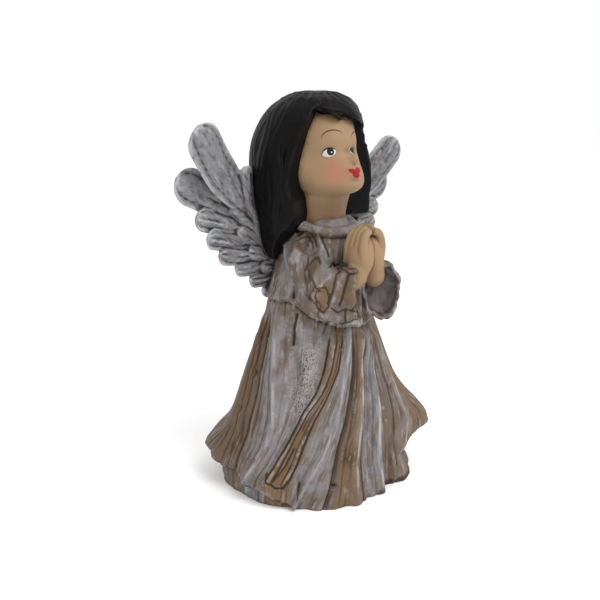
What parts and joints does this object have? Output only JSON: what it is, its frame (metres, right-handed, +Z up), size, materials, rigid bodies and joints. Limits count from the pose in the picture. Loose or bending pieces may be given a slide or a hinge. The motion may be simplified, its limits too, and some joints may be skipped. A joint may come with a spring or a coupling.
{
  "type": "angel figurine",
  "caption": "Small painted cast-resin angel: a long-haired child in a flared robe, looking up with folded hands and spread feathered wings.",
  "frame": {"origin": "on the flat underside, on the figure's standing axis, which is the axis of the skirt", "axes": "+Z up through the crown; the figure faces -Y; +X is the figure's own left"},
  "size_m": [0.1059, 0.0686, 0.1505],
  "materials": {
    "painted_resin": "hand-painted matt resin with a pale dry-brushed wash, satin black hair"
  },
  "bodies": {
    "root": {"angel_figure": "painted_resin"}
  },
  "joints": []
}
